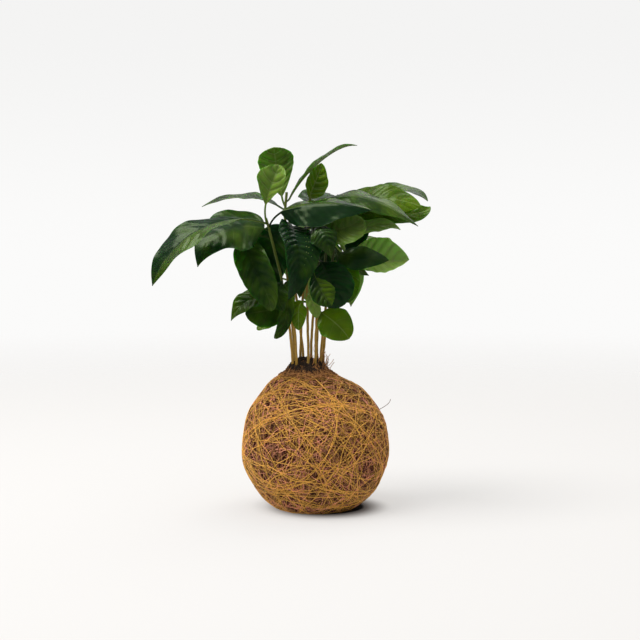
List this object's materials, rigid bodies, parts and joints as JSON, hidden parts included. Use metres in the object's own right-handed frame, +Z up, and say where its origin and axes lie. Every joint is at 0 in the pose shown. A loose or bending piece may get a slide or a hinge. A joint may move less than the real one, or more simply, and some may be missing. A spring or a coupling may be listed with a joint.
{
  "type": "coir-wrapped kokedama with coffee seedlings",
  "caption": "Round soil ball wrapped in coir fibre and bound with golden thread, with slim upright stems and glossy waved leaves growing from its top.",
  "frame": {"origin": "centre of the small flat spot under the ball, which it rests on", "axes": "+Z up along the stems, +X towards the viewer's right, -Y towards the viewer"},
  "size_m": [0.2053, 0.1396, 0.2755],
  "materials": {
    "coir": "matte",
    "soil": "matte",
    "thread": "satin",
    "stem": "satin",
    "leaf": "gloss",
    "seed_leaf": "gloss"
  },
  "bodies": {
    "root": {"coir_wrap": "coir", "soil": "soil", "binding_thread": "thread", "stem_01": "stem", "stem_02": "stem", "stem_03": "stem", "stem_04": "stem", "stem_05": "stem", "stem_06": "stem", "stem_07": "stem", "stem_08": "stem", "stem_09": "stem", "stem_10": "stem", "stem_11": "stem", "leaf_1a": "leaf", "leaf_1b": "leaf", "leaf_1c": "leaf", "leaf_1d": "leaf", "leaf_1e": "leaf", "leaf_1f": "leaf", "leaf_2a": "leaf", "leaf_2b": "leaf", "leaf_2c": "leaf", "leaf_2d": "leaf", "seed_leaf_2a": "seed_leaf", "leaf_3a": "leaf", "leaf_3b": "leaf", "leaf_3c": "leaf", "leaf_4a": "leaf", "leaf_4b": "leaf", "leaf_4c": "leaf", "leaf_4d": "leaf", "leaf_4e": "leaf", "leaf_5a": "leaf", "leaf_5b": "leaf", "leaf_5c": "leaf", "leaf_5d": "leaf", "leaf_5e": "leaf", "leaf_5f": "leaf", "leaf_6a": "leaf", "leaf_6b": "leaf", "leaf_6c": "leaf", "leaf_7a": "leaf", "leaf_7b": "leaf", "leaf_7c": "leaf", "seed_leaf_7a": "seed_leaf", "seed_leaf_7b": "seed_leaf", "leaf_8a": "leaf", "leaf_8b": "leaf", "seed_leaf_8a": "seed_leaf", "leaf_9a": "leaf", "leaf_9b": "leaf", "leaf_9c": "leaf", "leaf_10a": "leaf", "leaf_10b": "leaf", "leaf_10c": "leaf", "seed_leaf_10a": "seed_leaf", "leaf_11a": "leaf", "leaf_11b": "leaf"}
  },
  "joints": []
}
